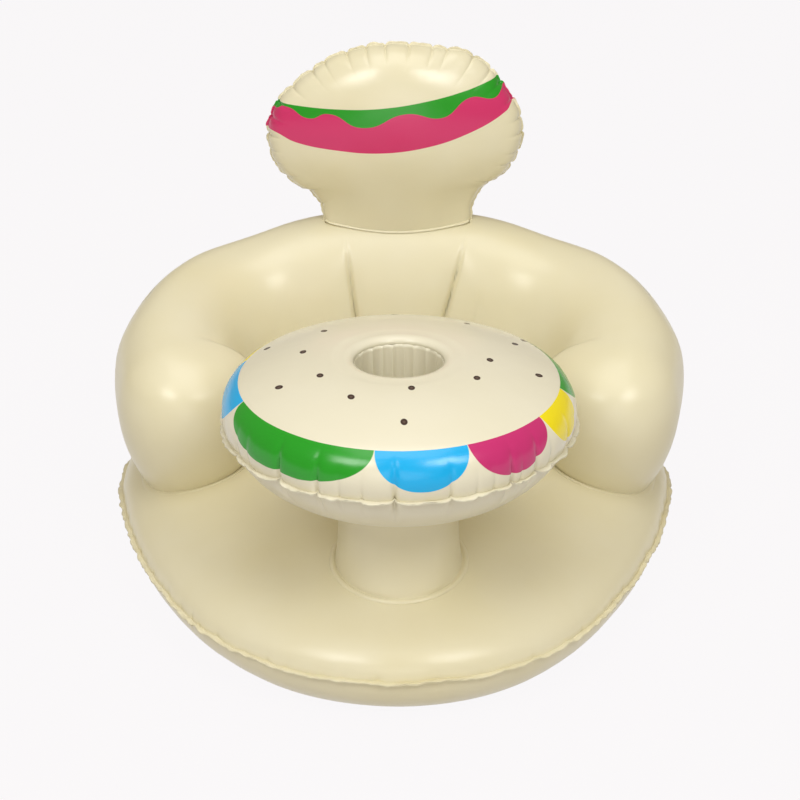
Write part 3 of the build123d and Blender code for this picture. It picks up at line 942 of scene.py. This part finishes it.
def head_edge(turn):
    """Point of the headrest's edge and the way out from it, from the right foot up and round."""
    rest = turn * HEAD_ROUND
    last = len(HEAD_ARCS) - 1
    for number, part in enumerate(HEAD_ARCS):
        length = HEAD_LENGTHS[number]
        if rest <= length or number == last:
            share = min(rest / length, 1)
            if part[0] != "arc":
                x = part[1][0] + (part[2][0] - part[1][0]) * share
                z = part[1][1] + (part[2][1] - part[1][1]) * share
                return (x, z), (0.0, -1.0) if part[0] == "foot" else (math.copysign(1, x), 0.0)
            angle = part[3] + (part[4] - part[3]) * share
            x = part[1][0] + part[2] * math.cos(angle)
            z = part[1][1] + part[2] * math.sin(angle)
            sign = -1 if part[2] == NECK_RADIUS else 1
            return (x, z), (sign * math.cos(angle), sign * math.sin(angle))
        rest -= length


def head_notches():
    """Puckers round the headrest's seam. The film between two of them bows out."""
    dice = random.Random(23)
    along = 0.07
    found = []
    while along < HEAD_ROUND - 0.05:
        found.append((along, dice.uniform(0.5, 1.0)))
        along += dice.uniform(0.015, 0.034)
    return found


HEAD_NOTCHES = head_notches()
HEAD_PUCKERS = [(along, 0.0040 * size, 0.0018, 0.45 + 0.5 * size) for along, size in HEAD_NOTCHES]
HEAD_CENTRE = (0.0, 0.405)


def foot_slimming(z):
    """The headrest's neck gets slimmer down to its foot."""
    share = min(max((z - HEAD_FOOT_Z) / 0.11, 0), 1)
    return 0.66 + 0.34 * share * share * (3 - 2 * share)


def head_point(turn, way, side):
    along = turn * HEAD_ROUND
    (ex, ez), (nx, nz) = head_edge(turn)
    lower = min(max((ez - 0.315) / 0.03, 0), 1)
    foot = nz == -1.0 and ez < HEAD_FOOT_Z + 1e-6
    if foot and way <= 0:
        y = side * (head_depth(ex, ez) * foot_slimming(ez) - way)
        rise = wall_top(ex, RIDGE_Y + y) - way * 0.1 + 0.0006
        return (HEAD_X + ex, RIDGE_Y + y, rise), way
    dent = pucker_depth(HEAD_PUCKERS, HEAD_ROUND, along, 0, 0.03) * lower
    wave = (ripple(ex, 0, ez, 0.02, 0.0014) + ripple(ex, 3, ez, 0.007, 0.0006)) * lower
    # the right shoulder of the headrest is the fuller one
    wave += 0.009 * math.exp(-(((ex - 0.088) / 0.032) ** 2)) * min(max((ez - 0.45) / 0.03, 0), 1)
    if way < 0:
        out = -way * (0.42 + ripple(ex, 5, ez, 0.006, 0.2)) - dent * 1.1 + wave
        x = ex + nx * out
        z = ez + nz * out
        y = side * 0.0002 + ripple(ex, 7, ez, 0.012, 0.0018) * (-way / MARGIN)
        return lean(x, y, z), way
    share = 1 - way
    inset = math.dist((ex, ez), HEAD_CENTRE) * way
    x = HEAD_CENTRE[0] + (ex - HEAD_CENTRE[0]) * share
    z = HEAD_CENTRE[1] + (ez - HEAD_CENTRE[1]) * share
    depth = head_depth(x, z) * foot_slimming(z)
    fade = pucker_depth(HEAD_PUCKERS, HEAD_ROUND, along, inset, 0.016) * lower
    edge = math.exp(-inset / 0.007)
    x += nx * (wave - dent * 1.1) * edge
    z += nz * (wave - dent * 1.1) * edge
    depth = max(depth - fade * (1 - edge), 0.0)
    return lean(x, side * depth, z), inset


def wall_top(x, y):
    """Height of the backrest's film over a point beside its ridge."""
    off = abs(math.hypot(x, y - BACK_CENTRE[1]) - (BACK_RADIUS - WALL_INSET))
    angle = math.degrees(math.acos(min(off / WALL_HALF, 1) ** (1 / WALL_FULLNESS)))
    return wall_height(y, angle)


def lean(x, y, z):
    """Turns a point of the upright headrest to its lean on the ridge."""
    rise = z - WALL_BACK_Z
    return (
        HEAD_X + x * math.cos(HEAD_LEAN) - rise * math.sin(HEAD_LEAN),
        RIDGE_Y + y,
        WALL_BACK_Z + x * math.sin(HEAD_LEAN) + rise * math.cos(HEAD_LEAN),
    )


head_ways = [-MARGIN, -0.004, -0.002, 0.0] + [0.002, 0.005, 0.009, 0.014, 0.02, 0.028, 0.038, 0.05]
head_ways += spaced(0.065, 0.96, 30)
HEAD_FRONT_POLE = lean(HEAD_CENTRE[0], -head_depth(*HEAD_CENTRE), HEAD_CENTRE[1])
HEAD_BACK_POLE = lean(HEAD_CENTRE[0], head_depth(*HEAD_CENTRE), HEAD_CENTRE[1])


def head_front_place(turn, way):
    return head_point(turn, way, -1)


def head_back_place(turn, way):
    return head_point(turn, way, 1)


# Print on the headrest: a green band with a wavy lower edge over a pink band, by x and z in metres
GREEN_TOP = [
    (-0.140, 0.4565), (-0.073, 0.4555), (-0.025, 0.4575),
    (0.035, 0.466), (0.077, 0.475), (0.120, 0.486),
]
GREEN_WAVE = [
    (-0.140, 0.449), (-0.127, 0.4535), (-0.100, 0.4435), (-0.079, 0.4500), (-0.041, 0.4364),
    (0.010, 0.4523), (0.046, 0.4467), (0.081, 0.4672), (0.105, 0.4640), (0.122, 0.4790),
]
PINK_LOW = [
    (-0.145, 0.4255), (-0.115, 0.4150), (-0.066, 0.4090), (-0.024, 0.4076),
    (0.026, 0.4132), (0.079, 0.4285), (0.121, 0.4500), (0.128, 0.4570),
]


def traced(tree, x, points):
    """Height of a printed edge at x, as a curve through its points."""
    low, high = -0.16, 0.16
    bottom, top = 0.38, 0.50
    across = add(
        tree, "ShaderNodeMapRange", {},
        {"Value": x, "From Min": low, "From Max": high, "To Min": 0.0, "To Max": 1.0},
    )
    curve = tree.nodes.new("ShaderNodeFloatCurve")
    line = curve.mapping.curves[0]
    spots = [((px - low) / (high - low), (pz - bottom) / (top - bottom)) for px, pz in points]
    line.points[0].location = (0.0, spots[0][1])
    line.points[1].location = (1.0, spots[-1][1])
    for spot in spots:
        line.points.new(*spot)
    curve.mapping.update()
    tree.links.new(across.outputs["Result"], curve.inputs["Value"])
    return sums(tree, "MULTIPLY_ADD", curve.outputs["Value"], top - bottom, bottom)


def paint_head(tree, coords, film):
    split = add(tree, "ShaderNodeSeparateXYZ", {}, {0: coords})
    x = split.outputs[0]
    z = split.outputs[2]

    def under(edge):
        return sums(tree, "MULTIPLY", sums(tree, "SUBTRACT", edge, z), 2500.0, clamp=True)

    below_top = under(traced(tree, x, GREEN_TOP))
    below_wave = under(traced(tree, x, GREEN_WAVE))
    below_pink = under(traced(tree, x, PINK_LOW))
    colour = over(tree, below_top, film, GREEN)
    colour = over(tree, below_wave, colour, PINK)
    mix = add(tree, "ShaderNodeMix", {"data_type": "RGBA"}, {0: below_pink, 6: colour, 7: film})
    return mix.outputs[2]


# Put together

# steps round each film, and how much the tray's crowd towards the front
TRAY_COUNT = 800
TRAY_CROWD = 0.42
SLEEVE_COUNT = 360
POST_COUNT = 240
HEAD_COUNT = 900
cream_film = film_material("pvc_film_cream", CREAM, CREAM_DEEP)
tray_film = film_material("pvc_film_tray_printed", WHITE_CREAM, WHITE_DEEP, PRINT_GLOSS, paint_tray)
tray_plain = film_material("pvc_film_tray_plain", WHITE_CREAM, WHITE_DEEP)
head_film = film_material("pvc_film_headrest_printed", CREAM, CREAM_DEEP, PRINT_GLOSS, paint_head)
valve_pvc = film_material("pvc_valve_soft", "#E9E7DC", "#E2DFCF", VALVE_GLOSS)

bm = drawn_film(BASE_COUNT, margin_levels + crown_levels + cap_levels, base_top_place, BASE_POLE)
flip_towards(bm, lambda p: (0, 0, 1))
finish_film("base_top_film", bm, cream_film, "base_top_panel")
bm = drawn_film(BASE_COUNT, margin_levels + floor_levels + floor_caps, base_bottom_place, (0, 0, 0))
flip_towards(bm, lambda p: (0, 0, -1))
finish_film("base_bottom_film", bm, cream_film, "base_bottom_panel")

bm = drawn_film(TRAY_COUNT, top_ways, tray_top_place, None, TRAY_CROWD)
flip_towards(bm, lambda p: (0, 0, 1))
finish_film("tray_top_film", bm, tray_film, "tray_top_panel")
bm = drawn_film(TRAY_COUNT, under_ways, tray_under_place, (0, TRAY_Y, TRAY_Z - 0.0495), TRAY_CROWD)
flip_towards(bm, lambda p: (0, 0, -1))
finish_film("tray_bottom_film", bm, tray_plain, "tray_bottom_panel")
bm = drawn_film(SLEEVE_COUNT, spaced(0, 1, 30), sleeve_place)
flip_towards(bm, lambda p: (-p.x, TRAY_Y - p.y, 0))
finish_film("tray_pocket_film", bm, tray_plain, "tray_pocket_sleeve")

bm = drawn_film(POST_COUNT, post_levels, post_place)
flip_towards(bm, lambda p: (p.x, p.y - TRAY_Y, 0))
finish_film("post_film", bm, cream_film, "post_wall")


def wall_film(outer):
    """One of the wall's two films, cut from the whole wall along the seam behind its ridge."""
    bm = drawn_film(WALL_COUNT, wall_levels, wall_place)
    bmesh.ops.remove_doubles(bm, verts=bm.verts, dist=0.00005)
    seam_angle = math.degrees(math.acos(((WALL_INSET - OUTER_SEAM) / WALL_HALF) ** (1 / WALL_FULLNESS)))
    turn_mark = bm.verts.layers.float["turn"]
    way_mark = bm.verts.layers.float["way"]
    drop = []
    for face in bm.faces:
        turn = sum(v[turn_mark] for v in face.verts) / len(face.verts)
        if max(v[turn_mark] for v in face.verts) - min(v[turn_mark] for v in face.verts) > 0.5:
            turn = 0.999
        way = sum(v[way_mark] for v in face.verts) / len(face.verts)
        stretch = wall_frame(turn)[2]
        centre = face.calc_center_median()
        foot = foot_angle_at(turn)
        angle = foot + (90 - foot) * way
        behind = stretch == "outer" and centre.y > OUTER_PANEL_Y and angle < seam_angle
        if behind != outer:
            drop.append(face)
    bmesh.ops.delete(bm, geom=drop, context="FACES")
    bmesh.ops.recalc_face_normals(bm, faces=bm.faces)
    return bm


bm = wall_film(False)
flip_towards(bm, lambda p: (p.x - WALL_PATH.at(0)[0][0] if abs(p.x) > 0.2 else 0, 0, 1))
finish_film("backrest_inner_film", bm, cream_film, "backrest_inner_panel")
bm = wall_film(True)
flip_towards(bm, lambda p: (p.x, p.y, 0))
finish_film("backrest_outer_film", bm, cream_film, "backrest_outer_panel")


# middle and half height of a tie, and how far its edges stand back from the two films
TIE_Z = 0.2025
TIE_HALF = 0.0625
TIE_NEAR = 0.019
TIE_FAR = 0.004


def tie_strip(name, crease, node):
    """Strip of film inside the backrest, from the bottom of a crease to the outer film."""
    place, tilt = crease[:2]
    bm = bmesh.new()
    bmesh.ops.create_grid(bm, x_segments=8, y_segments=24, size=1.0)
    for vert in bm.verts:
        z = TIE_Z + TIE_HALF * vert.co.y
        x = place + tilt * (z - CREASE_LEVEL)
        rise = (z - WALL_FOOT_Z) / (WALL_BACK_Z - WALL_FOOT_Z)
        turn = math.degrees(math.asin(min(rise * (1 + sine(WALL_FOOT_ANGLE)) - sine(WALL_FOOT_ANGLE), 1)))
        middle = BACK_CENTRE[1] + math.sqrt((BACK_RADIUS - WALL_INSET) ** 2 - x * x)
        near = middle - wall_spread(turn) + TIE_NEAR
        far = middle + wall_spread(turn) - TIE_FAR
        vert.co = (x, near + (far - near) * (vert.co.x + 1) / 2, z)
    finish_film(name, bm, cream_film, node)


tie_strip("backrest_tie_strip_left", CREASES[0], "backrest_tie_left")
tie_strip("backrest_tie_strip_right", CREASES[1], "backrest_tie_right")

bm = drawn_film(HEAD_COUNT, head_ways, head_front_place, HEAD_FRONT_POLE)
flip_towards(bm, lambda p: (0, -1, 0))
finish_film("headrest_front_film", bm, head_film, "headrest_front_panel")
bm = drawn_film(HEAD_COUNT, head_ways, head_back_place, HEAD_BACK_POLE)
flip_towards(bm, lambda p: (0, 1, 0))
finish_film("headrest_back_film", bm, cream_film, "headrest_back_panel")

for name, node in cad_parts.items():
    if "_valve_" in name:
        node.data.materials.clear()
        node.data.materials.append(valve_pvc)


# Studio

floor_bm = bmesh.new()
bmesh.ops.create_grid(floor_bm, x_segments=1, y_segments=1, size=20.0)
floor = new_piece("floor", floor_bm)
floor_paint = bpy.data.materials.new("studio_floor")
floor_paint.use_nodes = True
tree = floor_paint.node_tree
tree.nodes.clear()
paper = add(tree, "ShaderNodeBsdfDiffuse", {}, {"Color": linear("#C9C6C4")})
lit_paper = add(tree, "ShaderNodeEmission", {}, {"Color": linear("#FCFAFB"), "Strength": 1.0})
path = add(tree, "ShaderNodeLightPath")
seen = sums(tree, "MAXIMUM", path.outputs["Is Camera Ray"], path.outputs["Is Glossy Ray"])
seen = sums(tree, "MAXIMUM", seen, path.outputs["Is Transmission Ray"])
white = sums(tree, "MULTIPLY", seen, 0.96)
paper = add(tree, "ShaderNodeMixShader", {}, {0: white, 1: paper.outputs[0], 2: lit_paper.outputs[0]})
add(tree, "ShaderNodeOutputMaterial", {}, {"Surface": paper.outputs[0]})
floor.data.materials.append(floor_paint)
floor.location.z = -0.0004

world = bpy.data.worlds.new("studio")
bpy.context.scene.world = world
world.use_nodes = True
tree = world.node_tree
tree.nodes.clear()
path = add(tree, "ShaderNodeLightPath")
dim = add(tree, "ShaderNodeBackground", {}, {"Color": linear("#FFF3E0"), "Strength": 0.38})
bright = add(tree, "ShaderNodeBackground", {}, {"Color": linear("#FCFAFB"), "Strength": 1.0})
seen = sums(tree, "MAXIMUM", path.outputs["Is Camera Ray"], path.outputs["Is Transmission Ray"])
mix = add(tree, "ShaderNodeMixShader", {}, {0: seen, 1: dim.outputs[0], 2: bright.outputs[0]})
add(tree, "ShaderNodeOutputWorld", {}, {"Surface": mix.outputs[0]})


def softbox(name, place, aim, size, power, colour="#FFFFFF"):
    lamp = bpy.data.lights.new(name, "AREA")
    lamp.shape = "RECTANGLE"
    lamp.size = size[0]
    lamp.size_y = size[1]
    lamp.energy = power
    lamp.color = linear(colour)[:3]
    holder = bpy.data.objects.new(name, lamp)
    bpy.context.scene.collection.objects.link(holder)
    holder.location = place
    holder.rotation_mode = "QUATERNION"
    holder.rotation_quaternion = (Vector(aim) - Vector(place)).to_track_quat("-Z", "Y")


softbox("softbox_left", (-0.95, -1.6, 1.9), (0, 0, 0.2), (0.7, 0.7), 15)
softbox("softbox_right", (0.95, -1.6, 1.9), (0, 0, 0.2), (0.7, 0.7), 15)
softbox("softbox_top", (0, -0.5, 2.4), (0, 0, 0.1), (1.5, 1.5), 15)
softbox("softbox_front", (0, -2.1, 0.7), (0, 0, 0.25), (1.2, 0.8), 4)

camera = bpy.data.cameras.new("camera")
camera.sensor_width = 36.0
camera.lens = 36.0 * 1774 / 800
viewer = bpy.data.objects.new("camera", camera)
bpy.context.scene.collection.objects.link(viewer)
viewer.location = (0.001, -1.707, 1.016)
viewer.rotation_euler = (math.radians(90 - 25.69), 0, 0)
bpy.context.scene.camera = viewer
bpy.context.scene.view_settings.view_transform = "Standard"
